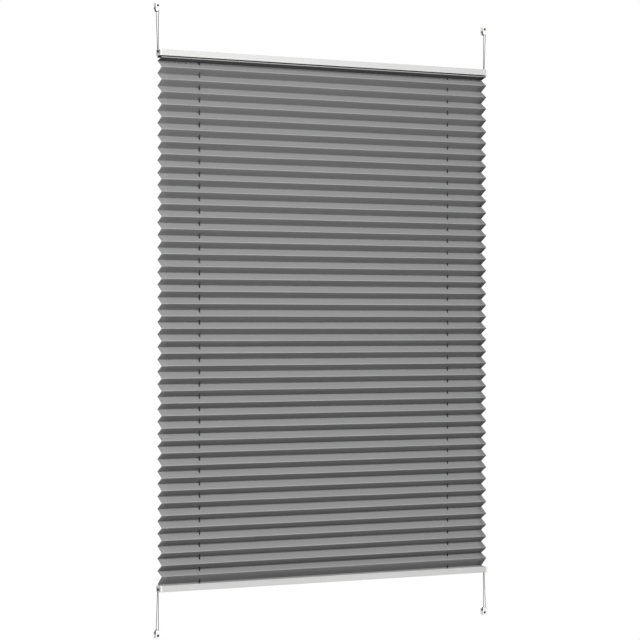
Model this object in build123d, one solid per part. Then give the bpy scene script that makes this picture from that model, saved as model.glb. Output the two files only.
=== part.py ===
from build123d import *
import math
import os

# Pleated blind with two rails that slide on tensioned cords, for a window 1.2 m high.
# X is the width with +X to the right, -Y is the room side, and +Z is up. The origin is the blind's middle.
# All sizes are in millimetres.

# Overall sizes
HOLE_HEIGHT = 1200.0  # between the screw holes of an upper and a lower tension shoe
RAIL_SPAN = 1033.0  # outer face of the top rail to outer face of the bottom rail
RAIL_LENGTH = 744.0  # one aluminium rail, without its end caps

# Rail section: a cord chamber on the outer side, and a fabric groove with an open mouth towards the fabric
RAIL_DEPTH = 19.0
RAIL_HEIGHT = 12.0
SIDE_WALL = 1.4
OUTER_WALL = 1.0
WEB = 1.0
CHAMBER_HEIGHT = 4.8
LIP = 1.0
MOUTH_WIDTH = 12.0
BEAD_HEIGHT = 2.0  # the slightly proud bead along the fabric side of the front and back faces
BEAD_PROUD = 0.3
RAIL_CORNER = 0.8

# Pleated fabric
FABRIC_WIDTH = 746.0
FABRIC_THICKNESS = 0.3
PLEAT_DEPTH = 18.4
PLEAT_PITCH = 23.7  # the nearest pitch that fills the height evenly is used
SHADED_RISE = 11.45  # from a front fold down to the next back fold
FIRST_FOLD_DROP = 2.0  # from the top rail down to the first front fold
FIRST_PANEL_RISE = 7.2  # the nearly flat first panel, under the top rail
LAST_LIT_RISE = 8.9  # the last panel but one
LAST_PANEL_RISE = 17.5  # the steep last panel, above the bottom rail
LAST_FOLD_GAP = 0.6  # from the last back fold to the bottom rail
MOUTH_GAP = 0.6  # from the fabric to the edge of the rail's mouth
CORD_HOLE_RADIUS = 1.5

# Strips that clamp the fabric's ends in the rails
STRIP_SIDE_GAP = 0.6  # from the strip's edge to the groove's wall
STRIP_THICKNESS = 1.6
STRIP_INSET = 2.0  # from the rail's end to the strip's end

# Cords: each is an endless loop, so two runs lie side by side everywhere
CORD_DIAMETER = 1.0
RUN_SPACING = 1.4  # between the two runs of one cord
CORD_SPACING = 1.8  # between the planes of the left and the right cord
CORD_PLANE = 3.0  # how far the two cords lie behind the rail's middle
COLUMN_OFFSET = 286.0  # from the blind's middle to the cord in the pleats
CAP_BEND = 3.4  # bend radius over the end cap, between the two runs
GUIDE_BEND = 3.5  # bend radius round the cord guide, between the two runs
CORD_CLEARANCE = 0.05

# End caps
CAP_THICKNESS = 3.5
CAP_CORD_INSET = 1.0  # from the cap's end face to the middle of the cord
CAP_EDGE = 0.6
PLUG_LENGTH = 14.0
POCKET_WIDTH = 12.0
POCKET_HEIGHT = 5.0
POCKET_DEPTH = 2.4
POCKET_SHIFT = 1.0  # how far the pocket's middle lies behind the rail's middle
TUNNEL_WIDTH = 4.4
TUNNEL_CLEARANCE = 0.4
NOTCH_WIDTH = 1.8

# Cord guides
GUIDE_LENGTH = 15.0
GUIDE_NOSE = 5.0  # how far the guide reaches past the cord
GUIDE_FACE_GAP = 0.1  # from the guide's face to the middle between the two cords
GUIDE_SIDE_GAP = 0.1  # from the guide's back to the chamber's wall
GUIDE_GROOVE = 0.3  # clearance of the groove on the outer side of the bend
SPOUT_RADIUS = 2.2
SPOUT_BORE = 1.6
SPOUT_REACH = 0.7
SPOUT_COLLAR = 0.6

# Tension shoes
SHOE_WIDTH = 9.0
SHOE_DEPTH = 10.0
SHOE_HEIGHT = 17.0
SHOE_STEP = 0.5  # from the end cap's face outwards to the shoe's middle
HOLE_TO_TIP = 5.0
SHOE_CORNER = 1.5
SHOE_EDGE = 0.4
SCREW_RADIUS = 1.8
SINK_RADIUS = 3.2
SINK_DEPTH = 1.4
PEG_RADIUS = 1.9
PEG_TO_SCREW = 6.8
PEG_CLEARANCE = 0.2
SLOT_WIDTH = 3.6
SLOT_MARGIN = 0.25
THROAT_WIDTH = 2.2
THROAT_HEIGHT = 2.2
KNOT_HOLE_RADIUS = 1.7
KNOT_HOLE_BEHIND = 2.2  # from the shoe's back face to the middle of the knot hole
KNOT_HOLE_TO_SCREW = 5.2

FIT = 0.05  # clearance of what slides into a rail
BIG = 2000.0  # longer than the whole blind

# Worked out from the sizes above
RAIL_OUTER = RAIL_SPAN / 2
RAIL_INNER = RAIL_OUTER - RAIL_HEIGHT
RAIL_END = RAIL_LENGTH / 2
CAP_END = RAIL_END + CAP_THICKNESS
CHAMBER_TOP = RAIL_OUTER - OUTER_WALL
CHAMBER_FLOOR = CHAMBER_TOP - CHAMBER_HEIGHT
GROOVE_ROOF = CHAMBER_FLOOR - WEB
GROOVE_FLOOR = RAIL_INNER + LIP
INSIDE_HALF = RAIL_DEPTH / 2 - SIDE_WALL
STRIP_HALF = INSIDE_HALF - STRIP_SIDE_GAP
FABRIC_LEVEL = GROOVE_FLOOR + FIT + FABRIC_THICKNESS / 2
STRIP_FLOOR = GROOVE_FLOOR + 2 * FIT + FABRIC_THICKNESS
CORD_RADIUS = CORD_DIAMETER / 2
CORD_LEVEL = (CHAMBER_TOP + CHAMBER_FLOOR) / 2
LEFT_CORD_Y = CORD_PLANE + CORD_SPACING / 2
RIGHT_CORD_Y = CORD_PLANE - CORD_SPACING / 2
HALF_RUN = RUN_SPACING / 2
SHOE_X = CAP_END + SHOE_STEP
HOLE_Z = HOLE_HEIGHT / 2
SHOE_TIP = HOLE_Z + HOLE_TO_TIP
SHOE_FOOT = SHOE_TIP - SHOE_HEIGHT
SHOE_BACK = RAIL_DEPTH / 2
SHOE_FRONT = SHOE_BACK - SHOE_DEPTH
PEG_Z = HOLE_Z - PEG_TO_SCREW
LOOP_RADIUS = PEG_RADIUS + CORD_RADIUS + PEG_CLEARANCE


def block(x, y, z):
    """A box from its low and high limits along each axis."""
    size = Box(x[1] - x[0], y[1] - y[0], z[1] - z[0])
    return Pos((x[0] + x[1]) / 2, (y[0] + y[1]) / 2, (z[0] + z[1]) / 2) * size


def rod_along_y(radius, x, y, z):
    """A cylinder along Y, through (x, z), between the two values of y."""
    return Pos(x, (y[0] + y[1]) / 2, z) * (Rot(90, 0, 0) * Cylinder(radius, y[1] - y[0]))


def around(middle, width):
    """The low and high limit of a width about its middle."""
    return (middle - width / 2, middle + width / 2)


def to_bottom(part):
    """The same piece at the bottom of the blind."""
    return mirror(part, about=Plane.XY)


def to_right(part):
    """The same piece on the right side of the blind."""
    return mirror(part, about=Plane.YZ)


# Rails --------------------------------------------------------------------------------------------
# One extruded aluminium section. Its long faces lie a little behind the bead on the fabric side.


def rail_section():
    """The top rail's section, in the YZ plane."""
    face = RAIL_DEPTH / 2 - BEAD_PROUD
    body = Pos(0, RAIL_OUTER - RAIL_HEIGHT / 2) * Rectangle(2 * face, RAIL_HEIGHT)
    body = fillet(body.vertices().sort_by(Axis.Y)[-2:], RAIL_CORNER)
    bead_middle = RAIL_INNER + BEAD_HEIGHT / 2
    bead_corner = BEAD_PROUD + FIT
    bead = Pos(0, bead_middle) * RectangleRounded(RAIL_DEPTH, BEAD_HEIGHT, bead_corner)
    chamber = Pos(0, CORD_LEVEL) * Rectangle(2 * INSIDE_HALF, CHAMBER_HEIGHT)
    groove_middle = (GROOVE_FLOOR + GROOVE_ROOF) / 2
    groove_height = GROOVE_ROOF - GROOVE_FLOOR
    groove = Pos(0, groove_middle) * Rectangle(2 * INSIDE_HALF, groove_height)
    mouth = Pos(0, RAIL_INNER) * Rectangle(MOUTH_WIDTH, 3 * LIP)
    return Plane.YZ * (body + bead - chamber - groove - mouth)


def rail():
    """The top rail, with a hole in its web for each cord guide."""
    hole = Cylinder(SPOUT_RADIUS + 2 * FIT, 2 * WEB)
    web_middle = GROOVE_ROOF + WEB / 2
    holes = Pos(COLUMN_OFFSET, LEFT_CORD_Y, web_middle) * hole
    holes += Pos(-COLUMN_OFFSET, RIGHT_CORD_Y, web_middle) * hole
    return extrude(rail_section(), amount=RAIL_END, both=True) - holes


# Fabric strips ------------------------------------------------------------------------------------


def strip():
    """The top strip: flat, with a hole where each cord passes."""
    end = RAIL_END - STRIP_INSET
    bar = block((-end, end), (-STRIP_HALF, STRIP_HALF), (STRIP_FLOOR, STRIP_FLOOR + STRIP_THICKNESS))
    return bar - cord_holes()


def cord_holes():
    """The two upright holes that the cords need in the fabric and its strips."""
    drill = Cylinder(CORD_HOLE_RADIUS, BIG)
    return Pos(COLUMN_OFFSET, LEFT_CORD_Y, 0) * drill + Pos(-COLUMN_OFFSET, RIGHT_CORD_Y, 0) * drill


# Pleated fabric -----------------------------------------------------------------------------------
# One sheet. Its section is a line of folds in the YZ plane, given half its thickness on each side.


def fold_line():
    """The (y, z) points of the sheet's middle, from its upper end to its lower end."""
    fold = PLEAT_DEPTH / 2
    exit_y = MOUTH_WIDTH / 2 - MOUTH_GAP
    first_back = RAIL_INNER - FIRST_FOLD_DROP - FIRST_PANEL_RISE
    last_front = -RAIL_INNER + LAST_FOLD_GAP + LAST_PANEL_RISE
    last_back = last_front + LAST_LIT_RISE
    count = round((first_back - last_back) / PLEAT_PITCH)
    pitch = (first_back - last_back) / count
    points = [(STRIP_HALF, FABRIC_LEVEL), (MOUTH_GAP - exit_y, FABRIC_LEVEL)]
    points += [(-exit_y, RAIL_INNER - LAST_FOLD_GAP), (-fold, RAIL_INNER - FIRST_FOLD_DROP)]
    for k in range(count):
        back = first_back - k * pitch
        points += [(fold, back), (-fold, back - pitch + SHADED_RISE)]
    points += [(fold, last_back), (-fold, last_front)]
    points += [(fold, LAST_FOLD_GAP - RAIL_INNER), (exit_y, LAST_FOLD_GAP - RAIL_INNER)]
    points += [(exit_y - MOUTH_GAP, -FABRIC_LEVEL), (-STRIP_HALF, -FABRIC_LEVEL)]
    return points


def beside(points, distance):
    """The line of points moved sideways by a distance, with mitred corners."""
    steps = [Vector(b[0] - a[0], b[1] - a[1]).normalized() for a, b in zip(points, points[1:])]
    steps = [steps[0]] + steps + [steps[-1]]
    moved = []
    for (y, z), before, after in zip(points, steps, steps[1:]):
        normal = Vector(-before.Y - after.Y, before.X + after.X).normalized()
        reach = distance / normal.dot(Vector(-before.Y, before.X))
        moved.append((y + normal.X * reach, z + normal.Y * reach))
    return moved


def fabric():
    """The pleated sheet, with its cord holes, and set back at its corners where it enters the rails."""
    points = fold_line()
    half = FABRIC_THICKNESS / 2
    outline = Polyline(*beside(points, half), *reversed(beside(points, -half)), close=True)
    sheet = extrude(Plane.YZ * make_face(outline), amount=FABRIC_WIDTH / 2, both=True)
    sheet -= cord_holes()
    inset = RAIL_END - STRIP_INSET
    corner = block((inset, BIG), around(0, BIG), (RAIL_INNER - FIT, BIG))
    for cut in (corner, to_right(corner), to_bottom(corner), to_bottom(to_right(corner))):
        sheet -= cut
    return sheet


# End caps -----------------------------------------------------------------------------------------
# A flange over the rail's end and a plug in its cord chamber. The cord comes down in a notch, turns
# over the notch's rounded edge, and runs inwards through the tunnel.


def left_cap(cord_y):
    """The upper left end cap, for a cord in the plane at cord_y."""
    flange = block((-CAP_END, -RAIL_END), around(0, RAIL_DEPTH), (RAIL_INNER, RAIL_OUTER))
    flange = fillet(flange.edges().filter_by(Axis.X), RAIL_CORNER)
    flange = fillet(flange.faces().sort_by(Axis.X)[0].edges(), CAP_EDGE)
    plug_x = (-RAIL_END, PLUG_LENGTH - RAIL_END)
    plug_z = (CHAMBER_FLOOR + FIT, CHAMBER_TOP - FIT)
    plug = block(plug_x, around(0, 2 * (INSIDE_HALF - FIT)), plug_z)
    return flange + plug - cap_hollow(cord_y)


def cap_hollow(cord_y):
    """What is cut out of a left cap: the pocket, the tunnel and the notch over its rounded edge."""
    roof = CORD_LEVEL + HALF_RUN + CORD_RADIUS + CORD_CLEARANCE
    floor = CORD_LEVEL - HALF_RUN - CORD_RADIUS - TUNNEL_CLEARANCE
    outside = -CAP_END - 1
    pocket_floor = POCKET_DEPTH - CAP_END
    pocket_y = around(POCKET_SHIFT, POCKET_WIDTH)
    pocket = block((outside, pocket_floor), pocket_y, (roof - POCKET_HEIGHT, roof))
    tunnel_end = PLUG_LENGTH - RAIL_END + 1
    tunnel = block((pocket_floor - 1, tunnel_end), around(cord_y, TUNNEL_WIDTH), (floor, roof))
    bend_x = CAP_BEND + CAP_CORD_INSET - CAP_END
    bend_z = CORD_LEVEL + CAP_BEND
    edge = bend_z - roof
    notch_y = around(cord_y, NOTCH_WIDTH)
    notch = block((outside, bend_x), notch_y, (roof, RAIL_OUTER + 1))
    notch -= rod_along_y(edge, bend_x, notch_y, bend_z)
    notch -= block((bend_x - edge, bend_x), notch_y, (bend_z, RAIL_OUTER + 2))
    return pocket + tunnel + notch


# Cord guides --------------------------------------------------------------------------------------
# A block in the cord chamber, with a groove in its face that turns the cord down into a short spout.


def guide():
    """The upper right guide, for the left cord."""
    depth = (CORD_PLANE + GUIDE_FACE_GAP, INSIDE_HALF - GUIDE_SIDE_GAP)
    behind = COLUMN_OFFSET - GUIDE_LENGTH + GUIDE_NOSE
    length = (behind, COLUMN_OFFSET + GUIDE_NOSE)
    body = block(length, depth, (CHAMBER_FLOOR + FIT, CHAMBER_TOP - FIT))
    spout_z = (GROOVE_ROOF - SPOUT_REACH, CHAMBER_FLOOR + SPOUT_COLLAR)
    spout_middle = (spout_z[0] + spout_z[1]) / 2
    spout_height = spout_z[1] - spout_z[0]
    at_cord = Pos(COLUMN_OFFSET, LEFT_CORD_Y, spout_middle)
    body += at_cord * Cylinder(SPOUT_RADIUS, spout_height)
    body -= at_cord * Cylinder(SPOUT_BORE, spout_height + 1)
    groove_y = (CORD_PLANE - CORD_SPACING, LEFT_CORD_Y + CORD_RADIUS + GUIDE_GROOVE)
    bend_x = COLUMN_OFFSET - GUIDE_BEND
    bend_z = CORD_LEVEL - GUIDE_BEND
    inner = GUIDE_BEND - HALF_RUN - CORD_RADIUS - CORD_CLEARANCE
    outer = GUIDE_BEND + HALF_RUN + CORD_RADIUS + GUIDE_GROOVE
    quarter = block((bend_x, bend_x + outer), groove_y, (bend_z, bend_z + outer))
    bend = rod_along_y(outer, bend_x, groove_y, bend_z) & quarter
    bend -= rod_along_y(inner, bend_x, groove_y, bend_z)
    level_run = block((behind - 1, bend_x), groove_y, (bend_z + inner, bend_z + outer))
    return body - bend - level_run


# Tension shoes ------------------------------------------------------------------------------------
# A small moulding: a countersunk screw hole, a peg across a slot for the cord's loop, a throat in the
# front wall where the loop goes in, and a cross hole that takes the loop's knot.


def left_shoe():
    """The upper left shoe."""
    half = SHOE_WIDTH / 2
    depth = (SHOE_FRONT, SHOE_BACK)
    shoe_x = around(-SHOE_X, SHOE_WIDTH)
    body = block(shoe_x, depth, (SHOE_FOOT + half, SHOE_TIP))
    body = fillet(body.edges().filter_by(Axis.Y).group_by(Axis.Z)[-1], SHOE_CORNER)
    body += rod_along_y(half, -SHOE_X, depth, SHOE_FOOT + half)
    body = fillet(body.faces().sort_by(Axis.Y)[0].outer_wire().edges(), SHOE_EDGE)
    slot_y = around(CORD_PLANE, SLOT_WIDTH)
    slot_top = PEG_Z + LOOP_RADIUS + CORD_RADIUS + SLOT_MARGIN
    body -= block((-SHOE_X - SHOE_WIDTH, SHOE_WIDTH - SHOE_X), slot_y, (SHOE_FOOT - 1, slot_top))
    body += rod_along_y(PEG_RADIUS, -SHOE_X, around(CORD_PLANE, SLOT_WIDTH + 1), PEG_Z)
    throat_y = (SHOE_FRONT - 1, CORD_PLANE)
    body -= block(around(-SHOE_X, THROAT_WIDTH), throat_y, (SHOE_FOOT - 1, SHOE_FOOT + THROAT_HEIGHT))
    body -= rod_along_y(SCREW_RADIUS, -SHOE_X, (SHOE_FRONT - 1, SHOE_BACK + 1), HOLE_Z)
    sink = Rot(90, 0, 0) * Cone(SCREW_RADIUS, SINK_RADIUS, SINK_DEPTH)
    body -= Pos(-SHOE_X, SHOE_FRONT + SINK_DEPTH / 2, HOLE_Z) * sink
    knot_hole = Rot(0, 90, 0) * Cylinder(KNOT_HOLE_RADIUS, SHOE_WIDTH + 2)
    knot_y = SHOE_BACK - KNOT_HOLE_BEHIND
    body -= Pos(-SHOE_X, knot_y, HOLE_Z - KNOT_HOLE_TO_SCREW) * knot_hole
    return body


# Cords --------------------------------------------------------------------------------------------
# The left cord loops round the pegs of the two left shoes. It turns over the left end caps into the
# rails, runs across to the right guides, and goes up and down through the pleats there. The right
# cord is the same cord turned half round about the upright line at CORD_PLANE.


def cord_corners():
    """The left cord's corners in the XZ plane, each with its bend radius, once round the loop."""
    peg_top = PEG_Z + LOOP_RADIUS
    outer_shoe = -SHOE_X - LOOP_RADIUS
    inner_shoe = LOOP_RADIUS - SHOE_X
    cap_x = CAP_CORD_INSET - CAP_END
    low = CORD_LEVEL - HALF_RUN
    high = CORD_LEVEL + HALF_RUN
    near = COLUMN_OFFSET - HALF_RUN
    far = COLUMN_OFFSET + HALF_RUN
    peg_bend = 0.95 * LOOP_RADIUS
    first_run = [
        (outer_shoe, peg_top, peg_bend),
        (cap_x - HALF_RUN, low, CAP_BEND + HALF_RUN),
        (near, low, GUIDE_BEND - HALF_RUN),
    ]
    second_run = [
        (inner_shoe, peg_top, peg_bend),
        (cap_x + HALF_RUN, high, CAP_BEND - HALF_RUN),
        (far, high, GUIDE_BEND + HALF_RUN),
    ]
    lower_first = [(x, -z, r) for x, z, r in reversed(first_run)]
    lower_second = [(x, -z, r) for x, z, r in second_run]
    return first_run + lower_first + lower_second + second_run[::-1]


def left_cord():
    """The cord's loop: a round section carried along straight runs and tangent arcs."""
    corners = cord_corners()
    points = [(x, LEFT_CORD_Y, z) for x, z, radius in corners]
    path = FilletPolyline(*points, radius=[radius for x, z, radius in corners], close=True)
    section = Plane(origin=path @ 0, z_dir=path % 0) * Circle(CORD_RADIUS)
    cord = sweep(section, path=path)
    ideal = math.pi * CORD_RADIUS**2 * path.length
    print("cord radii", [round(radius, 2) for x, z, radius in corners])
    print("cord length", round(path.length, 1), "volume over ideal", round(cord.volume / ideal, 5))
    return cord


def half_round(part):
    """The same piece turned half round about the upright line between the two cords."""
    return Pos(0, CORD_PLANE, 0) * Rot(0, 0, 180) * Pos(0, -CORD_PLANE, 0) * part


# All pieces ---------------------------------------------------------------------------------------

upper_rail = rail()
upper_strip = strip()
left_side_cap = left_cap(LEFT_CORD_Y)
right_side_cap = to_right(left_cap(RIGHT_CORD_Y))
right_guide = guide()
left_guide = half_round(right_guide)
left_side_shoe = left_shoe()
right_side_shoe = to_right(left_side_shoe)
whole_left_cord = left_cord()

pieces = {
    "top_rail": upper_rail,
    "bottom_rail": to_bottom(upper_rail),
    "top_left_end_cap": left_side_cap,
    "top_right_end_cap": right_side_cap,
    "bottom_left_end_cap": to_bottom(left_side_cap),
    "bottom_right_end_cap": to_bottom(right_side_cap),
    "pleated_fabric": fabric(),
    "top_fabric_strip": upper_strip,
    "bottom_fabric_strip": to_bottom(upper_strip),
    "top_left_cord_guide": left_guide,
    "top_right_cord_guide": right_guide,
    "bottom_left_cord_guide": to_bottom(left_guide),
    "bottom_right_cord_guide": to_bottom(right_guide),
    "top_left_tension_shoe": left_side_shoe,
    "top_right_tension_shoe": right_side_shoe,
    "bottom_left_tension_shoe": to_bottom(left_side_shoe),
    "bottom_right_tension_shoe": to_bottom(right_side_shoe),
    "left_cord": whole_left_cord,
    "right_cord": half_round(whole_left_cord),
}

os.makedirs("parts", exist_ok=True)
for name, piece in pieces.items():
    export_step(piece, f"parts/{name}.step")
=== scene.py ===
import bpy
import bmesh
import numpy as np
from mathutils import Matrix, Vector


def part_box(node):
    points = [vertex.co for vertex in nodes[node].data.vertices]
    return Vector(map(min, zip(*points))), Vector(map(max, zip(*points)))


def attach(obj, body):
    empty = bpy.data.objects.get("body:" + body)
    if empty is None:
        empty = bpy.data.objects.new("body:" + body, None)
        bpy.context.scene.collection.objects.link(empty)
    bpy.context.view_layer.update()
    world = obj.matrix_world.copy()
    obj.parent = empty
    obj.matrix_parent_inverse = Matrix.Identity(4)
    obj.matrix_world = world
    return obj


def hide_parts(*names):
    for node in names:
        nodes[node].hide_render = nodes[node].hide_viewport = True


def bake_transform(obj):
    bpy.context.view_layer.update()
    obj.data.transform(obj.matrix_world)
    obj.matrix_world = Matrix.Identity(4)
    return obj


# Pleated blind for a window, 1.2 m high. X is the width, -Y is the room, +Z is up; metres.
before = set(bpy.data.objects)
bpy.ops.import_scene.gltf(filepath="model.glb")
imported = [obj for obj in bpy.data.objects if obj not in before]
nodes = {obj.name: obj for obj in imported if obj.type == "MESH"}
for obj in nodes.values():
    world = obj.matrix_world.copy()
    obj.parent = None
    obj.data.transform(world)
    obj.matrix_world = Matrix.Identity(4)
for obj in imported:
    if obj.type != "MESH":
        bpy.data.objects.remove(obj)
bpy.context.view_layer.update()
scene = bpy.context.scene

# Camera -------------------------------------------------------------------------------------------
# A long lens, level with the blind's middle and to its left, so that the rails run back to the right.

LENS_LENGTH_MM = 137.9
VIEW_RISE = 0.0067
STANDPOINT = (-2.482, -4.173, -0.007)
HEADING = np.radians(30.5565)

camera_data = bpy.data.cameras.new("long_lens")
camera_data.sensor_width = 36.0
camera_data.lens = LENS_LENGTH_MM
camera_data.shift_y = VIEW_RISE
camera_data.dof.use_dof = False
camera_data.clip_end = 60.0
camera = bpy.data.objects.new("camera", camera_data)
scene.collection.objects.link(camera)
scene.camera = camera
camera.location = STANDPOINT
sight = Vector((np.sin(HEADING), np.cos(HEADING), 0.0))
camera.rotation_euler = sight.to_track_quat("-Z", "Y").to_euler()

# Rails --------------------------------------------------------------------------------------------
# Two lengths of one extruded aluminium section, sawn square and powder coated white. The coat is
# satin, with a fine orange peel, and it is a little thinner and brighter along the sharp edges.

COAT_WHITE = (0.575, 0.575, 0.57, 1.0)
COAT_SHADE = (0.535, 0.535, 0.53, 1.0)
COAT_EDGE = (0.75, 0.75, 0.745, 1.0)
COAT_DUST = (0.58, 0.565, 0.54, 1.0)
COAT_ROUGHNESS = 0.36
COAT_UNEVENNESS = 0.12
COAT_EDGE_SHARE = 0.7
PEEL_HEIGHT = 0.00004
PEEL_STRENGTH = 0.6


def new_node(tree, kind, **settings):
    """A node of that kind in a node tree. Settings name its own options; a value for one of its
    sockets is given by the socket's name, with an underscore for each space."""
    made = tree.nodes.new(kind)
    for name, value in settings.items():
        if hasattr(made, name):
            setattr(made, name, value)
        else:
            made.inputs[name.replace("_", " ")].default_value = value
    return made


def reckon(tree, operation, *terms):
    """One step of arithmetic on numbers or sockets, as a Math node; gives its result socket."""
    step = tree.nodes.new("ShaderNodeMath")
    step.operation = operation
    for socket, term in zip(step.inputs, terms):
        if isinstance(term, (int, float)):
            socket.default_value = term
        else:
            tree.links.new(term, socket)
    return step.outputs[0]


def tinted(tree, share, first, second):
    """A colour that goes from the first to the second as share goes from 0 to 1."""
    mix = tree.nodes.new("ShaderNodeMix")
    mix.data_type = "RGBA"
    tree.links.new(share, mix.inputs["Factor"])
    for socket, colour in ((mix.inputs["A"], first), (mix.inputs["B"], second)):
        if isinstance(colour, tuple):
            socket.default_value = colour
        else:
            tree.links.new(colour, socket)
    return mix.outputs["Result"]


def new_effect(name, given, gives):
    """An empty node group with its named inputs (name, socket kind, value) and outputs."""
    tree = bpy.data.node_groups.new(name, "ShaderNodeTree")
    for label, kind, value in given:
        socket = tree.interface.new_socket(label, in_out="INPUT", socket_type=kind)
        if value is not None:
            socket.default_value = value
    for label, kind in gives:
        tree.interface.new_socket(label, in_out="OUTPUT", socket_type=kind)
    return tree, tree.nodes.new("NodeGroupInput").outputs, tree.nodes.new("NodeGroupOutput").inputs


def effect(material, group, **values):
    """That effect placed in a material, with its own values; gives its output sockets."""
    placed = material.node_tree.nodes.new("ShaderNodeGroup")
    placed.node_tree = group
    for name, value in values.items():
        placed.inputs[name.replace("_", " ")].default_value = value
    return placed.outputs


def new_finish(name, **sockets):
    """A material with one Principled shader, its constants set on the shader's own sockets."""
    material = bpy.data.materials.new(name)
    material.use_nodes = True
    shader = material.node_tree.nodes["Principled BSDF"]
    for label, value in sockets.items():
        shader.inputs[label.replace("_", " ")].default_value = value
    return material, material.node_tree, shader


def raise_surface(material, height, distance, strength):
    """A Bump node that takes that height, in metres at full distance, and feeds the Normal."""
    tree = material.node_tree
    bump = new_node(tree, "ShaderNodeBump", Distance=distance, Strength=strength)
    tree.links.new(height, bump.inputs["Height"])
    tree.links.new(bump.outputs["Normal"], tree.nodes["Principled BSDF"].inputs["Normal"])


def finish_nodes(material, *names):
    """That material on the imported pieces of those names."""
    for name in names:
        nodes[name].data.materials.clear()
        nodes[name].data.materials.append(material)


# Fine grain: two layers of noise, the finer at a third of the size, as a height and a cloudy tint.
FINER = 3.1
FINE_SHARE = 0.4
GRAIN_RANGE = 0.71

grain, given, gives = new_effect(
    "fine_grain",
    [("Grain", "NodeSocketFloat", 1000.0), ("Stretch", "NodeSocketVector", (1.0, 1.0, 1.0))],
    [("Height", "NodeSocketFloat"), ("Cloud", "NodeSocketFloat")],
)
place = new_node(grain, "ShaderNodeTexCoord")
stretched = new_node(grain, "ShaderNodeVectorMath", operation="MULTIPLY")
coarse = new_node(grain, "ShaderNodeTexNoise", Detail=2.0, Roughness=0.55)
fine = new_node(grain, "ShaderNodeTexNoise", Detail=2.0, Roughness=0.6)
cloud = new_node(grain, "ShaderNodeTexNoise", Scale=9.0, Detail=3.0, Roughness=0.5)
grain.links.new(place.outputs["Object"], stretched.inputs[0])
grain.links.new(given["Stretch"], stretched.inputs[1])
for noise in (coarse, fine, cloud):
    grain.links.new(stretched.outputs[0], noise.inputs["Vector"])
grain.links.new(given["Grain"], coarse.inputs["Scale"])
grain.links.new(reckon(grain, "MULTIPLY", given["Grain"], FINER), fine.inputs["Scale"])
both = reckon(grain, "MULTIPLY_ADD", fine.outputs["Fac"], FINE_SHARE, coarse.outputs["Fac"])
grain.links.new(reckon(grain, "MULTIPLY", both, GRAIN_RANGE), gives["Height"])
grain.links.new(cloud.outputs["Fac"], gives["Cloud"])

# Rubbed edges: how far the normal, rounded over a small radius, leans from the true one.
rubbed, given, gives = new_effect(
    "rubbed_edges",
    [("Radius", "NodeSocketFloat", 0.0006), ("Patches", "NodeSocketFloat", 60.0)],
    [("Mask", "NodeSocketFloat")],
)
soft_normal = new_node(rubbed, "ShaderNodeBevel", samples=6)
true_normal = new_node(rubbed, "ShaderNodeNewGeometry")
lean = new_node(rubbed, "ShaderNodeVectorMath", operation="DOT_PRODUCT")
patch = new_node(rubbed, "ShaderNodeTexNoise", Detail=4.0, Roughness=0.65)
place = new_node(rubbed, "ShaderNodeTexCoord")
rubbed.links.new(given["Radius"], soft_normal.inputs["Radius"])
rubbed.links.new(soft_normal.outputs["Normal"], lean.inputs[0])
rubbed.links.new(true_normal.outputs["Normal"], lean.inputs[1])
rubbed.links.new(place.outputs["Object"], patch.inputs["Vector"])
rubbed.links.new(given["Patches"], patch.inputs["Scale"])
turned = reckon(rubbed, "SUBTRACT", 1.0, lean.outputs["Value"])
edge = new_node(rubbed, "ShaderNodeMapRange", interpolation_type="SMOOTHSTEP", From_Max=0.25)
rubbed.links.new(turned, edge.inputs["Value"])
patches = new_node(rubbed, "ShaderNodeMapRange", From_Min=0.35, From_Max=0.6, To_Min=0.45)
rubbed.links.new(patch.outputs["Fac"], patches.inputs["Value"])
rubbed.links.new(
    reckon(rubbed, "MULTIPLY", edge.outputs["Result"], patches.outputs["Result"]), gives["Mask"]
)

# Dust: settles where the surface faces up, in soft uneven patches.
dust, given, gives = new_effect(
    "settled_dust",
    [("Amount", "NodeSocketFloat", 0.3), ("Patches", "NodeSocketFloat", 45.0)],
    [("Mask", "NodeSocketFloat")],
)
facing = new_node(dust, "ShaderNodeNewGeometry")
upward = new_node(dust, "ShaderNodeSeparateXYZ")
patch = new_node(dust, "ShaderNodeTexNoise", Detail=5.0, Roughness=0.7)
place = new_node(dust, "ShaderNodeTexCoord")
dust.links.new(facing.outputs["Normal"], upward.inputs[0])
dust.links.new(place.outputs["Object"], patch.inputs["Vector"])
dust.links.new(given["Patches"], patch.inputs["Scale"])
level = new_node(dust, "ShaderNodeMapRange", From_Min=0.3, From_Max=1.0)
dust.links.new(upward.outputs["Z"], level.inputs["Value"])
patches = new_node(dust, "ShaderNodeMapRange", From_Min=0.3, From_Max=0.7)
dust.links.new(patch.outputs["Fac"], patches.inputs["Value"])
settled = reckon(dust, "MULTIPLY", level.outputs["Result"], patches.outputs["Result"])
dust.links.new(reckon(dust, "MULTIPLY", settled, given["Amount"]), gives["Mask"])

# Recess shade: painted shade, darkening where a hollow is shut in within a few millimetres. Shut
# and Open are the shares of its surroundings that it is open to where the painted shade is darkest
# and where it is gone.
recess, given, gives = new_effect(
    "shaded_recess",
    [("Depth", "NodeSocketFloat", 0.009), ("Shut", "NodeSocketFloat", 0.1),
     ("Open", "NodeSocketFloat", 0.9)],
    [("Mask", "NodeSocketFloat")],
)
shut_in = new_node(recess, "ShaderNodeAmbientOcclusion", samples=8)
recess.links.new(given["Depth"], shut_in.inputs["Distance"])
deep = new_node(recess, "ShaderNodeMapRange", interpolation_type="SMOOTHSTEP")
recess.links.new(given["Shut"], deep.inputs["From Min"])
recess.links.new(given["Open"], deep.inputs["From Max"])
recess.links.new(shut_in.outputs["AO"], deep.inputs["Value"])
recess.links.new(reckon(recess, "SUBTRACT", 1.0, deep.outputs["Result"]), gives["Mask"])

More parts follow.
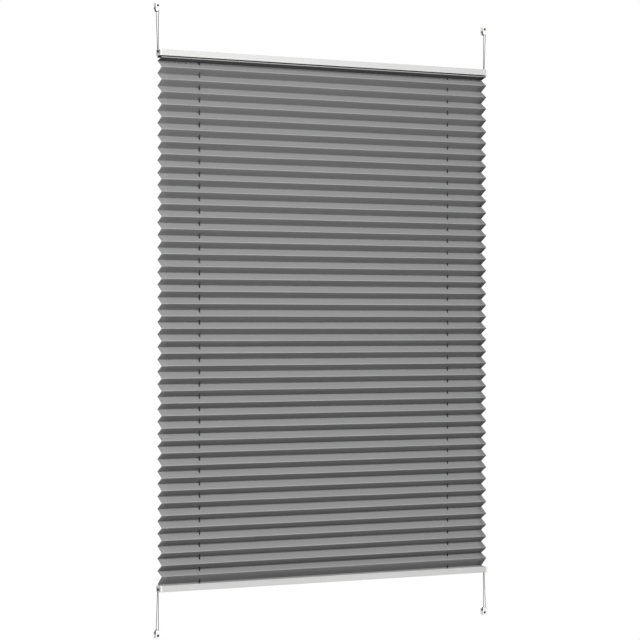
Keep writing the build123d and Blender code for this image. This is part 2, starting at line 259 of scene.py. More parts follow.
coat, tree, shader = new_finish(
    "satin_powder_coat", Metallic=0.0, Specular_IOR_Level=0.45, Coat_Weight=0.08, Coat_Roughness=0.3
)
peel = effect(coat, grain, Grain=520.0, Stretch=(0.6, 1.0, 1.0))
wear = effect(coat, rubbed, Radius=0.0005, Patches=35.0)
film = effect(coat, dust, Amount=0.35)
body_colour = tinted(tree, peel["Cloud"], COAT_SHADE, COAT_WHITE)
edge_share = reckon(tree, "MULTIPLY", wear["Mask"], COAT_EDGE_SHARE)
edge_colour = tinted(tree, edge_share, body_colour, COAT_EDGE)
dusty = tinted(tree, film["Mask"], edge_colour, COAT_DUST)
tree.links.new(dusty, shader.inputs["Base Color"])
matt = reckon(tree, "MULTIPLY_ADD", peel["Cloud"], COAT_UNEVENNESS, COAT_ROUGHNESS)
tree.links.new(reckon(tree, "ADD", matt, film["Mask"]), shader.inputs["Roughness"])
raise_surface(coat, peel["Height"], PEEL_HEIGHT, PEEL_STRENGTH)
finish_nodes(coat, "top_rail", "bottom_rail")

# End caps and cord guides -------------------------------------------------------------------------
# Small white nylon mouldings, pushed into the cord chamber of a rail. They are a shade warmer and
# glossier than the rail's coat, with the fine spark texture of their mould.

NYLON_WHITE = (0.79, 0.79, 0.77, 1.0)
NYLON_SHADE = (0.74, 0.74, 0.715, 1.0)
NYLON_EDGE = (0.89, 0.89, 0.88, 1.0)
NYLON_DUST = (0.55, 0.535, 0.51, 1.0)
# The near black that hollows in the mouldings are tinted towards, as painted shade.
PAINTED_HOLLOW_SHADE = (0.02, 0.02, 0.02, 1.0)
NYLON_EDGE_SHARE = 0.6
NYLON_UNEVENNESS = 0.14
SPARK_HEIGHT = 0.00003


def moulded(name, white, shade, grain_size, roughness, bump, shut):
    """White moulded plastic: a cloudy tint between two whites, paler rubbed edges, dust on top,
    painted shade in the hollows, and a bump of the mould's fine texture. A small hole needs a large
    shut to look dark."""
    plastic, tree, shader = new_finish(name, Specular_IOR_Level=0.5, Subsurface_Weight=0.0)
    spark = effect(plastic, grain, Grain=grain_size)
    wear = effect(plastic, rubbed, Radius=0.0004, Patches=90.0)
    film = effect(plastic, dust, Amount=0.3, Patches=80.0)
    hollow = effect(plastic, recess, Shut=shut)
    colour = tinted(tree, spark["Cloud"], shade, white)
    edge_share = reckon(tree, "MULTIPLY", wear["Mask"], NYLON_EDGE_SHARE)
    colour = tinted(tree, edge_share, colour, NYLON_EDGE)
    colour = tinted(tree, film["Mask"], colour, NYLON_DUST)
    # Painted shade: hollows are tinted towards near black by how shut in they are.
    colour = tinted(tree, hollow["Mask"], colour, PAINTED_HOLLOW_SHADE)
    tree.links.new(colour, shader.inputs["Base Color"])
    uneven = reckon(tree, "MULTIPLY_ADD", spark["Height"], NYLON_UNEVENNESS, roughness)
    tree.links.new(uneven, shader.inputs["Roughness"])
    raise_surface(plastic, spark["Height"], SPARK_HEIGHT, bump)
    return plastic


finish_nodes(
    moulded("moulded_nylon", NYLON_WHITE, NYLON_SHADE, 1900.0, roughness=0.34, bump=0.4, shut=0.1),
    "top_left_end_cap", "top_right_end_cap", "bottom_left_end_cap", "bottom_right_end_cap",
    "top_left_cord_guide", "top_right_cord_guide", "bottom_left_cord_guide",
    "bottom_right_cord_guide",
)

# Fabric strips ------------------------------------------------------------------------------------
# Flat strips of extruded frosted plastic. Each lies on the fabric's end inside its rail's groove and
# holds it there; faint draw lines run along it.

STRIP_SHADE = (0.66, 0.68, 0.68, 1.0)
STRIP_WHITE = (0.78, 0.79, 0.79, 1.0)
STRIP_ROUGHNESS = 0.3
STRIP_UNEVENNESS = 0.2
DRAW_LINE_HEIGHT = 0.00005
DRAW_LINE_STRENGTH = 0.5

strip_plastic, tree, shader = new_finish(
    "frosted_strip", Specular_IOR_Level=0.5, Transmission_Weight=0.25, IOR=1.49
)
drawn = effect(strip_plastic, grain, Grain=900.0, Stretch=(0.02, 1.0, 1.0))
strip_colour = tinted(tree, drawn["Height"], STRIP_SHADE, STRIP_WHITE)
tree.links.new(strip_colour, shader.inputs["Base Color"])
matt = reckon(tree, "MULTIPLY_ADD", drawn["Cloud"], STRIP_UNEVENNESS, STRIP_ROUGHNESS)
tree.links.new(matt, shader.inputs["Roughness"])
raise_surface(strip_plastic, drawn["Height"], DRAW_LINE_HEIGHT, DRAW_LINE_STRENGTH)
finish_nodes(strip_plastic, "top_fabric_strip", "bottom_fabric_strip")

# Tension shoes ------------------------------------------------------------------------------------
# Four small white mouldings, screwed to the window's frame above and below the blind. Their faces are
# slightly coarser and flatter than the caps', as of a tougher filled plastic.

SHOE_WHITE = (0.87, 0.87, 0.86, 1.0)
SHOE_SHADE = (0.82, 0.82, 0.805, 1.0)

finish_nodes(
    moulded("moulded_shoe", SHOE_WHITE, SHOE_SHADE, 1300.0, roughness=0.42, bump=0.6, shut=0.6),
    "top_left_tension_shoe", "top_right_tension_shoe", "bottom_left_tension_shoe",
    "bottom_right_tension_shoe",
)

# Pleated fabric -----------------------------------------------------------------------------------
# One sheet of grey woven polyester, pressed into permanent pleats about 22 mm wide and punched for
# the two cords. Its ends lie in the rails' grooves under the strips. The first panels, under the
# top rail, are its hem, painted much darker than the rest as painted shade under the rail. The
# front creases carry a painted highlight, and the back creases painted shade with some grime.

FABRIC_WIDTH = 0.746
WIDTH_IN_RAIL = 0.740
FABRIC_THICKNESS = 0.0003
PLEAT_DEPTH = 0.0184
PLEAT_PITCH = 0.0237
SHADED_RISE = 0.01145
FIRST_FOLD_DROP = 0.0034
FIRST_PANEL_RISE = 0.0058
HEM_BACK_DROP = 0.0032
HEM_BEND_Y = 0.0074
HEM_BEND_DROP = 0.0013
LAST_LIT_RISE = 0.0089
LAST_PANEL_RISE = 0.0175
FOLD_GAP = 0.0006
MOUTH_Y = 0.0048
IN_RAIL_END = 0.0075
IN_RAIL_Z = 0.5057
CREASE_RADIUS = 0.00035
CREASE_REACH = 0.0016
THREAD = 0.00034
HOLE_RADIUS = 0.0015
HOLE_X = 0.286
HOLE_Y = 0.0030
HOLE_STAGGER = 0.0009
FABRIC_LIGHT = (0.252, 0.252, 0.254, 1.0)
FABRIC_DARK = (0.206, 0.206, 0.208, 1.0)
# The next two colours are a painted highlight for the front creases and painted shade for the hem
# under the top rail.
FABRIC_CREASE_PAINTED_HIGHLIGHT = (0.500, 0.500, 0.503, 1.0)
FABRIC_HEM_PAINTED_SHADE = (0.045, 0.045, 0.046, 1.0)
ARC_POINTS = 5
ARC_SHARE = 0.3
FULL_SHARE = 0.85


def fold_line(inner):
    """The corners of the sheet's section as (y, z), from the top rail to the bottom rail, where
    inner is the height of the rails' inner faces. The hem lies nearly flat under the top rail, with
    a blunt back fold and a bent front edge. From there down to a steep last panel, back and front
    folds take turns at an even pitch, and a shaded panel rises less than a lit one."""
    fold = PLEAT_DEPTH / 2
    first = inner - FIRST_FOLD_DROP - FIRST_PANEL_RISE
    last_front = LAST_PANEL_RISE + FOLD_GAP - inner
    last = last_front + LAST_LIT_RISE
    count = round((first - last) / PLEAT_PITCH)
    pitch = (first - last) / count
    back = first - pitch * np.arange(count + 1)
    front = np.append(back[:-1] - pitch + SHADED_RISE, last_front)
    pleats = np.stack([np.full(count + 1, fold), back, np.full(count + 1, -fold), front], axis=1)
    top = [(-IN_RAIL_END, IN_RAIL_Z), (MOUTH_Y, IN_RAIL_Z), (MOUTH_Y + FOLD_GAP, inner - FOLD_GAP)]
    top += [(fold, inner - FOLD_GAP), (fold, inner - HEM_BACK_DROP)]
    top += [(-HEM_BEND_Y, inner - HEM_BEND_DROP), (-fold, inner - FIRST_FOLD_DROP)]
    bottom = [(fold, FOLD_GAP - inner), (MOUTH_Y + FOLD_GAP, FOLD_GAP - inner)]
    bottom += [(MOUTH_Y, -IN_RAIL_Z), (-IN_RAIL_END, -IN_RAIL_Z)]
    return np.concatenate([np.array(top), pleats.reshape(-1, 2), np.array(bottom)])


def in_turn(first, panels, arcs, last):
    """One array of rows: the first row, a panel's rows, an arc's rows, and so on to the last."""
    pairs = np.concatenate([panels[:-1], arcs], axis=1)
    return np.concatenate([first[None], pairs.reshape(-1, *first.shape), panels[-1], last[None]])


def section_rows(corners, radius, across):
    """Where each row of the sheet lies. Every corner becomes an arc of evenly turned points, which
    takes up at most ARC_SHARE of a panel. Each panel between two arcs has a row for each listed y,
    or evenly spaced rows where it is much shorter than a pleat is deep. Gives each row's panel
    start and end as (y, z), its share of the way between them, whether its panel spans the pleat,
    and its place in folds."""
    step = np.diff(corners, axis=0)
    length = np.linalg.norm(step, axis=1, keepdims=True)
    way = step / length
    into, out = way[:-1], way[1:]
    turn = np.arctan2(into[:, 0] * out[:, 1] - into[:, 1] * out[:, 0], (into * out).sum(axis=1))
    half = np.tan(np.abs(turn) / 2)
    reach = np.minimum(radius * half, ARC_SHARE * np.minimum(length[:-1, 0], length[1:, 0]))
    start = corners[1:-1] - into * reach[:, None]
    side = np.stack([-into[:, 1], into[:, 0]], axis=1) * np.sign(turn)[:, None]
    angle = np.linspace(0.0, 1.0, ARC_POINTS)[None, :, None] * np.abs(turn)[:, None, None]
    round_it = np.sin(angle) * into[:, None] + (1 - np.cos(angle)) * side[:, None]
    arcs = start[:, None] + (reach / half)[:, None, None] * round_it
    starts = np.concatenate([corners[:1], arcs[:, -1]])
    ends = np.concatenate([arcs[:, 0], corners[-1:]])
    run = ends[:, 0] - starts[:, 0]
    full = np.abs(run) > FULL_SHARE * PLEAT_DEPTH
    targets = np.where((run > 0)[:, None], across[None], across[None, ::-1])
    even = np.linspace(0.0, 1.0, len(across) + 2)[None, 1:-1]
    share = np.where(full[:, None], (targets - starts[:, :1]) / np.where(full, run, 1)[:, None], even)
    count, many = len(starts), len(across)
    wide = np.ones((1, many, 1))
    first = in_turn(corners[0], starts[:, None] * wide, arcs, corners[-1])
    last = in_turn(corners[0], ends[:, None] * wide, arcs, corners[-1])
    none, at_arcs = np.array(0.0), np.zeros((count - 1, ARC_POINTS))
    shares = in_turn(none, share, at_arcs, none)
    spans = in_turn(none, full[:, None] * wide[..., 0], at_arcs, none) > 0.5
    at_fold = np.arange(1, count)[:, None] + at_arcs
    place = in_turn(none, np.arange(count)[:, None] + share, at_fold, np.array(float(count)))
    return first, last, shares, spans, place


def skin(name, points, across, along, closed=False, kept=None):
    """An object of four-sided faces over a grid of points, with u from across and v from along.
    Each face joins a point to the next in its row and to the next row; closed joins each row's
    end to its start, and kept says which faces are made. Points that coincide are merged."""
    rows, columns = points.shape[:2]
    last = columns if closed else columns - 1
    i, j = np.meshgrid(np.arange(rows - 1), np.arange(last), indexing="ij")
    corner_row = np.stack([i, i + 1, i + 1, i], axis=-1)
    corner_column = np.stack([j, j, j + 1, j + 1], axis=-1)
    if kept is not None:
        corner_row, corner_column = corner_row[kept], corner_column[kept]
    corner_row, corner_column = corner_row.reshape(-1, 4), corner_column.reshape(-1, 4)
    used, faces = np.unique(corner_row * columns + corner_column % columns, return_inverse=True)
    mesh = bpy.data.meshes.new(name)
    mesh.from_pydata(points.reshape(-1, 3)[used], [], faces.reshape(-1, 4).tolist())
    chart = mesh.uv_layers.new(name="UVMap")
    flat = np.stack([across[corner_column], along[corner_row]], axis=-1)
    chart.data.foreach_set("uv", flat.astype(np.float32).ravel())
    welded = bmesh.new()
    welded.from_mesh(mesh)
    bmesh.ops.remove_doubles(welded, verts=welded.verts, dist=1e-7)
    welded.to_mesh(mesh)
    welded.free()
    mesh.shade_smooth()
    made = bpy.data.objects.new(name, mesh)
    scene.collection.objects.link(made)
    return made


def point_values(piece, name, values):
    """A number for each point of a piece, kept in its mesh under that name."""
    kept = piece.data.attributes.new(name, "FLOAT", "POINT")
    kept.data.foreach_set("value", values.astype(np.float32))


def settled_mesh(piece):
    """The piece with its modifiers worked into its mesh, and none left."""
    done = bpy.data.meshes.new_from_object(piece.evaluated_get(bpy.context.evaluated_depsgraph_get()))
    piece.modifiers.clear()
    piece.data = done


def point_places(piece):
    """Every point of the piece's mesh, as an array of x, y and z."""
    flat = np.empty(len(piece.data.vertices) * 3, np.float32)
    piece.data.vertices.foreach_get("co", flat)
    return flat.reshape(-1, 3).astype(float)


def ease_between(piece, first_z, second_z):
    """The piece's placement worked into its mesh. Each point's share of the way from first_z to
    second_z by height is worked out, but nothing uses it, so the piece follows no body."""
    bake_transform(piece)
    share = np.clip((point_places(piece)[:, 2] - first_z) / (second_z - first_z), 0.0, 1.0)


# The grid's rows and columns: close together round the holes, wide apart elsewhere.
OUTER_RING = 3.0
FRONT_ROWS = (-0.0068, -0.0040)
MARGIN_COLUMNS = 5
MIDDLE_COLUMNS = 19
MARGIN_START = 0.012
MIDDLE_START = 0.014

inner_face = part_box("top_rail")[0].z
ring = HOLE_RADIUS * np.array([-OUTER_RING, -2.0, -1.0, -0.5, 0.0, 0.5, 1.0, 2.0, OUTER_RING])
panel_y = np.concatenate([FRONT_ROWS, HOLE_Y + ring])
corners = fold_line(inner_face)
start, end, share, spans, place = section_rows(corners, CREASE_RADIUS, panel_y)
middle = start + share[:, None] * (end - start)
distance = np.append(0.0, np.cumsum(np.linalg.norm(np.diff(middle, axis=0), axis=1)))
columns = np.concatenate([
    np.linspace(-FABRIC_WIDTH / 2, -HOLE_X - MARGIN_START, MARGIN_COLUMNS), -HOLE_X + ring,
    np.linspace(MIDDLE_START - HOLE_X, HOLE_X - MIDDLE_START, MIDDLE_COLUMNS), HOLE_X + ring,
    np.linspace(HOLE_X + MARGIN_START, FABRIC_WIDTH / 2, MARGIN_COLUMNS),
])

# A punched hole: square rings of the grid round its middle are eased into round ones. On each
# panel, a and b are the distances from the hole's middle in radii, across and along the sheet.
FAR_OFF = 9.0
STAGGER_REACH = 3.5
JUST_INSIDE = 1.001

hole_x = np.sign(columns)[None, :] * HOLE_X
a = (columns[None, :] - hole_x) / HOLE_RADIUS
b = np.where(spans, (middle[:, 0] - HOLE_Y) / HOLE_RADIUS, FAR_OFF)[:, None]
square = np.maximum(np.abs(a), np.abs(b))
ease = np.clip((OUTER_RING - square) / 2, 0.0, 1.0)
rounding = ease * (square / np.maximum(np.hypot(a, b), 1e-6) - 1)
x = np.where(square < OUTER_RING, hole_x + HOLE_RADIUS * a * (1 + rounding), columns[None, :])
shift = HOLE_RADIUS * b * rounding * (square < OUTER_RING)
stagger = HOLE_STAGGER * np.clip(columns[None, :] / HOLE_X, -1.0, 1.0)
shift = shift + stagger * (np.abs(b) < STAGGER_REACH)
span = np.where(spans, end[:, 0] - start[:, 0], 1.0)[:, None]
moved = share[:, None] + np.where(spans[:, None], shift, 0.0) / span
points = start[:, None, :] + moved[..., None] * (end - start)[:, None, :]
open_cells = np.maximum(np.maximum(square[:-1, :-1], square[1:, :-1]),
                        np.maximum(square[:-1, 1:], square[1:, 1:])) < JUST_INSIDE

# No pleat is quite like the next: its folds wander by a tenth of a millimetre or two along the
# width, and the panels between them bow a little. Both fade out close to a rail.
BOW_SHARE = 1.3
STILL_END = 0.003
FADE_LENGTH = 0.02
RAIL_CLEARANCE = 0.0002

chance = np.random.default_rng(11)
waves = np.stack([
    np.ones_like(columns), np.sin(9 * columns), np.cos(17 * columns), np.sin(31 * columns + 1),
])
sizes = np.array([0.00008, 0.00009, 0.00006, 0.00004])
wander = (chance.normal(0.0, 1.0, (len(corners) + 1, 4)) * sizes) @ waves
bow = (chance.normal(0.0, 1.0, (len(corners) + 1, 4)) * sizes * BOW_SHARE) @ waves
fold, part = np.floor(place).astype(int), (place - np.floor(place))[:, None]
off_rail = inner_face - STILL_END - np.abs(middle[:, 1])
free = np.clip(off_rail / FADE_LENGTH, 0.0, 1.0)[:, None]
height = points[..., 1] + free * ((1 - part) * wander[fold] + part * wander[fold + 1])
height = height + free * np.sin(np.pi * part) * bow[fold]
in_rail = np.abs(middle[:, 1]) > inner_face - RAIL_CLEARANCE
widest = np.where(in_rail, WIDTH_IN_RAIL, FABRIC_WIDTH)[:, None] / 2
cloth = np.stack([np.clip(x, -widest, widest), points[..., 0], height], axis=-1)

# The sheet's own chart is its flat size in metres. Its creases are kept as two point values.
weave, given, gives = new_effect(
    "crossed_threads",
    [("Vector", "NodeSocketVector", None)],
    [("Height", "NodeSocketFloat"), ("Over", "NodeSocketFloat")],
)
counted = new_node(weave, "ShaderNodeSeparateXYZ")
weave.links.new(given["Vector"], counted.inputs[0])
warp = reckon(weave, "SINE", reckon(weave, "MULTIPLY", counted.outputs["X"], np.pi))
weft = reckon(weave, "SINE", reckon(weave, "MULTIPLY", counted.outputs["Y"], np.pi))
over = reckon(weave, "MULTIPLY_ADD", reckon(weave, "MULTIPLY", warp, weft), 0.5, 0.5)
warp_high = reckon(weave, "MULTIPLY", reckon(weave, "ABSOLUTE", warp), over)
under = reckon(weave, "SUBTRACT", 1.0, over)
weft_high = reckon(weave, "MULTIPLY", reckon(weave, "ABSOLUTE", weft), under)
weave.links.new(reckon(weave, "ADD", warp_high, weft_high), gives["Height"])
weave.links.new(over, gives["Over"])

WEAVE_SHARE = 0.35
SLUB_SHARE = 0.45
DRIFT_SHARE = 0.35
# Shares of the painted highlight on the front creases and the hem's front edge, and of painted shade
# with some grime in the back creases.
FRONT_CREASE_PAINTED_HIGHLIGHT = 0.35
HEM_PAINTED_HIGHLIGHT = 0.6
BACK_CREASE_SHADE_AND_GRIME = 0.3
CLOTH_ROUGHNESS = 0.86
CREASE_POLISH = 0.12
SLUB_UNEVENNESS = 0.08
SLUB_RELIEF = 0.5
THREAD_HEIGHT = 0.00006
THREAD_STRENGTH = 0.5
SLUBS_PER_METRE = (25.0, 1800.0, 1.0)
DRIFTS_PER_METRE = (5.0, 14.0, 1.0)

polyester, tree, shader = new_finish(
    "pleated_polyester", Specular_IOR_Level=0.25, Sheen_Weight=0.12, Sheen_Roughness=0.5
)
chart = new_node(tree, "ShaderNodeUVMap", uv_map="UVMap")
threads = new_node(tree, "ShaderNodeMapping", Scale=(1 / THREAD, 1 / THREAD, 1.0))
slubs = new_node(tree, "ShaderNodeMapping", Scale=SLUBS_PER_METRE)
drifts = new_node(tree, "ShaderNodeMapping", Scale=DRIFTS_PER_METRE)
for mapping in (threads, slubs, drifts):
    tree.links.new(chart.outputs["UV"], mapping.inputs["Vector"])
cross = effect(polyester, weave)
tree.links.new(threads.outputs["Vector"], cross["Height"].node.inputs["Vector"])
slub = new_node(tree, "ShaderNodeTexNoise", Scale=1.0, Detail=3.0, Roughness=0.6)
drift = new_node(tree, "ShaderNodeTexNoise", Scale=1.0, Detail=3.0, Roughness=0.5)
tree.links.new(slubs.outputs["Vector"], slub.inputs["Vector"])
tree.links.new(drifts.outputs["Vector"], drift.inputs["Vector"])
slub_tone = reckon(tree, "MULTIPLY", slub.outputs["Fac"], SLUB_SHARE)
tone = reckon(tree, "MULTIPLY_ADD", cross["Over"], WEAVE_SHARE, slub_tone)
tone = reckon(tree, "MULTIPLY_ADD", drift.outputs["Fac"], DRIFT_SHARE, tone)
cloth_colour = tinted(tree, tone, FABRIC_DARK, FABRIC_LIGHT)
# The hem under the top rail is painted near black, as painted shade.
hem = new_node(tree, "ShaderNodeAttribute", attribute_name="hem")
cloth_colour = tinted(tree, hem.outputs["Fac"], cloth_colour, FABRIC_HEM_PAINTED_SHADE)
# Front creases get a painted highlight, stronger on the hem; back creases get painted shade with some
# grime.
front_crease = new_node(tree, "ShaderNodeAttribute", attribute_name="front_crease")
back_crease = new_node(tree, "ShaderNodeAttribute", attribute_name="back_crease")
highlight_share = reckon(tree, "MULTIPLY_ADD", hem.outputs["Fac"], HEM_PAINTED_HIGHLIGHT, FRONT_CREASE_PAINTED_HIGHLIGHT)
painted_highlight = reckon(tree, "MULTIPLY", front_crease.outputs["Fac"], highlight_share)
cloth_colour = tinted(tree, painted_highlight, cloth_colour, FABRIC_CREASE_PAINTED_HIGHLIGHT)
# Back creases are darkened: painted shade, with some grime.
back_crease_shade_and_grime = reckon(tree, "MULTIPLY", back_crease.outputs["Fac"], BACK_CREASE_SHADE_AND_GRIME)
cloth_colour = tinted(tree, back_crease_shade_and_grime, cloth_colour, FABRIC_DARK)
tree.links.new(cloth_colour, shader.inputs["Base Color"])
polished = reckon(
    tree, "MULTIPLY_ADD", front_crease.outputs["Fac"], -CREASE_POLISH, CLOTH_ROUGHNESS
)
matt = reckon(tree, "MULTIPLY_ADD", slub.outputs["Fac"], SLUB_UNEVENNESS, polished)
tree.links.new(matt, shader.inputs["Roughness"])
relief = reckon(tree, "MULTIPLY_ADD", slub.outputs["Fac"], SLUB_RELIEF, cross["Height"])
raise_surface(polyester, relief, THREAD_HEIGHT, THREAD_STRENGTH)

# The halves part at the back fold nearest the middle, which stays where it is at every pose.
PASSED_OVER = 0.02
BACK_FOLD_Y = 0.009
HEM_FADE = 0.0008

fold_places = corners[np.abs(np.abs(corners[:, 0]) - PLEAT_DEPTH / 2) < 1e-6]
off_fold = PASSED_OVER * (np.abs(place % 1) > 1e-9)
not_back = PASSED_OVER * (middle[:, 0] < BACK_FOLD_Y)
at_middle = np.argmin(np.abs(middle[:, 1]) + off_fold + not_back)
fixed_height = middle[at_middle, 1]
first_back_fold = inner_face - FIRST_FOLD_DROP - FIRST_PANEL_RISE
for half, body, rail, kept, outer in (
    ("upper", "upper_rail", "top_rail", slice(0, at_middle + 1), inner_face - FIRST_FOLD_DROP),
    ("lower", "lower_rail", "bottom_rail", slice(at_middle, None), FOLD_GAP - inner_face),
):
    sheet = skin(
        half + "_fabric", cloth[kept], columns, distance[kept],
        kept=~open_cells[kept.start:(kept.stop - 1 if kept.stop else None)],
    )
    spot = point_places(sheet)
    nearest = np.argmin(np.abs(spot[:, 2][:, None] - fold_places[None, :, 1]), axis=1)
    off = np.hypot(np.abs(spot[:, 1]) - PLEAT_DEPTH / 2, spot[:, 2] - fold_places[nearest, 1])
    touch = np.clip(1.0 - off / CREASE_REACH, 0.0, 1.0)
    point_values(sheet, "front_crease", touch * (spot[:, 1] < 0))
    point_values(sheet, "back_crease", touch * (spot[:, 1] > 0))
    point_values(sheet, "hem", np.clip((spot[:, 2] - first_back_fold) / HEM_FADE, 0.0, 1.0))
    wall = sheet.modifiers.new("thickness", "SOLIDIFY")
    wall.thickness = FABRIC_THICKNESS
    wall.offset = 0.0
    settled_mesh(sheet)
    sheet.data.materials.append(polyester)
    ease_between(sheet, outer, fixed_height)
    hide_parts("pleated_fabric")

# Cords --------------------------------------------------------------------------------------------
# Two endless loops of dark grey braided polyester, 1.2 mm over the braid and 5.02 m long. Each is
# hooked over the pegs of the two shoes on its side, and turns into both rails over their end caps.

CORD_RADIUS = 0.0006
CORD_SIDES = 10
RUN_TOP = 0.5175
COLUMN_TOP = 0.5030
PEG_LEVEL = 0.5906
CORD_DARK = (0.008, 0.008, 0.008, 1.0)
CORD_PALE = (0.032, 0.032, 0.033, 1.0)
PLAIT_LENGTH = 0.00055
PLAIT_HEIGHT = 0.0001
PLAIT_STRENGTH = 0.8
CORD_ROUGHNESS = 0.7
CORD_UNEVENNESS = 0.15


def spline_points(route):
    """Points on the smooth line of a route: a NURBS spline of order 3 whose ends are clamped."""
    curve = bpy.data.curves.new("route", "CURVE")
    curve.dimensions = "3D"
    curve.resolution_u = 8
    spline = curve.splines.new("NURBS")
    spline.points.add(len(route) - 1)
    spline.points.foreach_set("co", np.insert(route, 3, 1.0, axis=1).astype(np.float32).ravel())
    spline.order_u = 3
    spline.use_endpoint_u = True
    carrier = bpy.data.objects.new("route", curve)
    line = bpy.data.meshes.new_from_object(carrier)
    flat = np.empty(len(line.vertices) * 3, np.float32)
    line.vertices.foreach_get("co", flat)
    bpy.data.objects.remove(carrier)
    bpy.data.curves.remove(curve)
    bpy.data.meshes.remove(line)
    return flat.reshape(-1, 3).astype(float)


def cord_piece(name, routes):
    """Round cords along routes that lie in upright planes: each ring stands on the line's tangent
    and on Y, and each end closes in a point. u goes once round and v is the length in metres."""
    around = np.linspace(0.0, 2 * np.pi, CORD_SIDES + 1)[:-1]
    rings, lengths, breaks = [], [], []
    for route in routes:
        line = spline_points(route)
        tangent = np.gradient(line, axis=0)
        tangent /= np.linalg.norm(tangent, axis=1, keepdims=True)
        outward = np.cross(tangent, (0.0, 1.0, 0.0))
        circle = np.cos(around)[None, :, None] * outward[:, None]
        circle = circle + np.sin(around)[None, :, None] * np.array([0.0, 1.0, 0.0])
        tube = line[:, None] + CORD_RADIUS * circle
        poles = np.repeat(line[[0, -1], None], CORD_SIDES, axis=1)
        rings.append(np.concatenate([poles[:1], tube, poles[1:]]))
        run = np.append(0.0, np.cumsum(np.linalg.norm(np.diff(line, axis=0), axis=1)))
        lengths.append(np.concatenate([run[:1] - CORD_RADIUS, run, run[-1:] + CORD_RADIUS]))
        breaks.append(len(rings[-1]))
    grid = np.concatenate(rings)
    kept = np.ones((len(grid) - 1, CORD_SIDES), bool)
    kept[np.cumsum(breaks)[:-1] - 1] = False
    made = skin(name, grid, np.linspace(0.0, 1.0, CORD_SIDES + 1), np.concatenate(lengths), True, kept)
    made.data.materials.append(braid)
    return made


braid, tree, shader = new_finish("braided_cord", Specular_IOR_Level=0.3, Sheen_Weight=0.1)
chart = new_node(tree, "ShaderNodeUVMap", uv_map="UVMap")
plaited = new_node(
    tree, "ShaderNodeMapping", Scale=(4 * 2**0.5, 1 / PLAIT_LENGTH, 1.0),
    Rotation=(0.0, 0.0, np.pi / 4),
)
plait = effect(braid, weave)
tree.links.new(chart.outputs["UV"], plaited.inputs["Vector"])
tree.links.new(plaited.outputs["Vector"], plait["Height"].node.inputs["Vector"])
tree.links.new(tinted(tree, plait["Height"], CORD_DARK, CORD_PALE), shader.inputs["Base Color"])
matt = reckon(tree, "MULTIPLY_ADD", plait["Over"], CORD_UNEVENNESS, CORD_ROUGHNESS)
tree.links.new(matt, shader.inputs["Roughness"])
raise_surface(braid, plait["Height"], PLAIT_HEIGHT, PLAIT_STRENGTH)

# The left cord's routes at the top, as (x, z): over the peg, and each of its two runs in the rail,
# from the end cap across to the guide and down into the pleats.
OVER_PEG = [
    (-0.37541, RUN_TOP), (-0.37839, PEG_LEVEL), (-0.3786, 0.5958), (-0.3734, 0.5958),
    (-0.37343, PEG_LEVEL), (-0.37378, RUN_TOP),
]
LOW_RUN = [
    (-0.37541, RUN_TOP), (-0.3752, 0.5124), (-0.3670, 0.5124), (0.2797, 0.5124), (0.2853, 0.5124),
    (0.2853, 0.5068), (0.2853, COLUMN_TOP),
]
HIGH_RUN = [
    (-0.37378, RUN_TOP), (-0.3738, 0.5138), (-0.3684, 0.5138), (0.2783, 0.5138), (0.2867, 0.5138),
    (0.2867, 0.5054), (0.2867, COLUMN_TOP),
]
LEFT_CORD_Y = 0.0039
CORDS_MIDDLE_Y = 0.0030


def placed(route, side, level):
    """A route of (x, z) in the left cord's plane, or turned half round about the upright line
    between the cords for the right one; level is -1 for the same route at the bottom."""
    flat = np.array(route)
    depth = CORDS_MIDDLE_Y + side * (CORDS_MIDDLE_Y - LEFT_CORD_Y)
    depths = np.full(len(flat), depth)
    return np.stack([-side * flat[:, 0], depths, level * flat[:, 1]], axis=1)


for cord, side in (("left_cord", -1), ("right_cord", 1)):
    for end, level, body in (("upper", 1, "upper_rail"), ("lower", -1, "lower_rail")):
        hook = cord_piece(f"{cord}_{end}_loop", [placed(OVER_PEG, side, level)])
        ease_between(hook, level * RUN_TOP, level * PEG_LEVEL)
        runs = cord_piece(
            f"{cord}_{end}_rail_runs", [placed(LOW_RUN, side, level), placed(HIGH_RUN, side, level)]
        )
        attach(runs, body)
        inner = [(LOW_RUN[-1][0], COLUMN_TOP), (LOW_RUN[-1][0], level * fixed_height)]
        outer = [(HIGH_RUN[-1][0], COLUMN_TOP), (HIGH_RUN[-1][0], level * fixed_height)]
        column = cord_piece(
            f"{cord}_{end}_column", [placed(inner, side, level), placed(outer, side, level)]
        )
        ease_between(column, level * COLUMN_TOP, fixed_height)
        for piece in (hook, runs, column):
            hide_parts(cord)

# Studio -------------------------------------------------------------------------------------------
# A plain pale floor well below the blind, in a white room that is lightest at its ceiling. A far
# soft lamp shines down from the front, and a near one stands before the upper rail. Three more
# light the lower rail, the left ends and the back.

FLOOR_HEIGHT = -1.5
FLOOR_RADIUS = 3.6
FLOOR_SIDES = 96
FLOOR_RINGS = 8
FLOOR_COLOUR = (0.66, 0.66, 0.655, 1.0)
CEILING_LIGHT = 0.26
UNDER_LIGHT = 0.08
FAR_LAMP_LIGHT = 1.95
FAR_LAMP_ANGLE = np.radians(18.0)
FAR_LAMP_WAY = (0.290, 0.797, -0.530)
LAMPS = {
    "lamp_front": ((-0.3, -1.5, 0.7), 0.4, 17.0),
    "lamp_low": ((-0.5, -2.3, -1.0), 0.8, 2.6),
    "lamp_left": ((-2.4, -0.5, 0.3), 0.8, 14.0),
    "lamp_back": ((0.8, 2.2, 1.2), 0.9, 75.0),
}

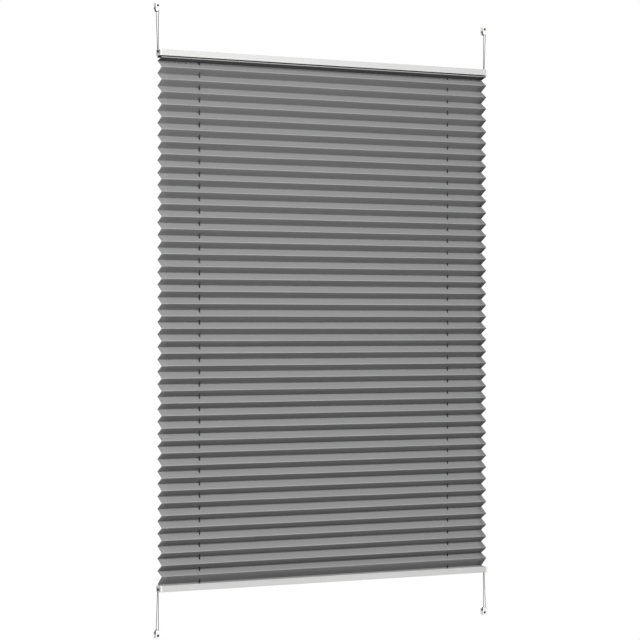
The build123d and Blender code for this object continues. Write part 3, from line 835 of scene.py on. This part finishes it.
turn = np.linspace(0.0, 2 * np.pi, FLOOR_SIDES + 1)
reach = np.linspace(0.0, FLOOR_RADIUS, FLOOR_RINGS + 1)
across, back = reach[:, None] * np.cos(turn[:-1]), reach[:, None] * np.sin(turn[:-1])
disc = np.stack([across, back, np.full_like(across, FLOOR_HEIGHT)], axis=-1)
floor = skin("floor", disc, turn, reach, closed=True)
pale, tree, shader = new_finish("pale_floor", Base_Color=FLOOR_COLOUR, Roughness=0.75)
ground = new_node(tree, "ShaderNodeTexCoord")
from_middle = new_node(tree, "ShaderNodeVectorMath", operation="LENGTH")
tree.links.new(ground.outputs["Object"], from_middle.inputs[0])
fade = new_node(
    tree, "ShaderNodeMapRange", interpolation_type="SMOOTHSTEP", From_Min=1.2, From_Max=3.5,
    To_Min=1.0, To_Max=0.0,
)
tree.links.new(from_middle.outputs["Value"], fade.inputs["Value"])
below = new_node(tree, "ShaderNodeNewGeometry")
above = reckon(tree, "SUBTRACT", 1.0, below.outputs["Backfacing"])
tree.links.new(reckon(tree, "MULTIPLY", fade.outputs["Result"], above), shader.inputs["Alpha"])
floor.data.materials.append(pale)

room = bpy.data.worlds.new("white_room")
scene.world = room
room.use_nodes = True
tree = room.node_tree
seen = tree.nodes["Background"]
seen.inputs["Color"].default_value = (1.0, 1.0, 1.0, 1.0)
lit = new_node(tree, "ShaderNodeBackground", Color=(1.0, 1.0, 1.0, 1.0))
way = new_node(tree, "ShaderNodeTexCoord")
height = new_node(tree, "ShaderNodeSeparateXYZ")
ceiling = new_node(
    tree, "ShaderNodeMapRange", interpolation_type="SMOOTHSTEP", From_Min=-0.1, From_Max=0.6,
    To_Min=UNDER_LIGHT, To_Max=CEILING_LIGHT,
)
tree.links.new(way.outputs["Generated"], height.inputs[0])
tree.links.new(height.outputs["Z"], ceiling.inputs["Value"])
tree.links.new(ceiling.outputs["Result"], lit.inputs["Strength"])
ray = new_node(tree, "ShaderNodeLightPath")
choice = new_node(tree, "ShaderNodeMixShader")
tree.links.new(ray.outputs["Is Camera Ray"], choice.inputs["Fac"])
tree.links.new(lit.outputs[0], choice.inputs[1])
tree.links.new(seen.outputs[0], choice.inputs[2])
tree.links.new(choice.outputs[0], tree.nodes["World Output"].inputs["Surface"])

for name, (spot, size, power) in LAMPS.items():
    light = bpy.data.lights.new(name, "AREA")
    light.size = size
    light.energy = power
    lamp = bpy.data.objects.new(name, light)
    lamp.location = spot
    lamp.rotation_euler = (-Vector(spot)).to_track_quat("-Z", "Y").to_euler()
    lamp.visible_camera = False
    scene.collection.objects.link(lamp)
far_light = bpy.data.lights.new("lamp_far_high", "SUN")
far_light.energy = FAR_LAMP_LIGHT
far_light.angle = FAR_LAMP_ANGLE
far_lamp = bpy.data.objects.new("lamp_far_high", far_light)
far_lamp.rotation_euler = Vector(FAR_LAMP_WAY).to_track_quat("-Z", "Y").to_euler()
scene.collection.objects.link(far_lamp)
scene.view_settings.view_transform = "Standard"
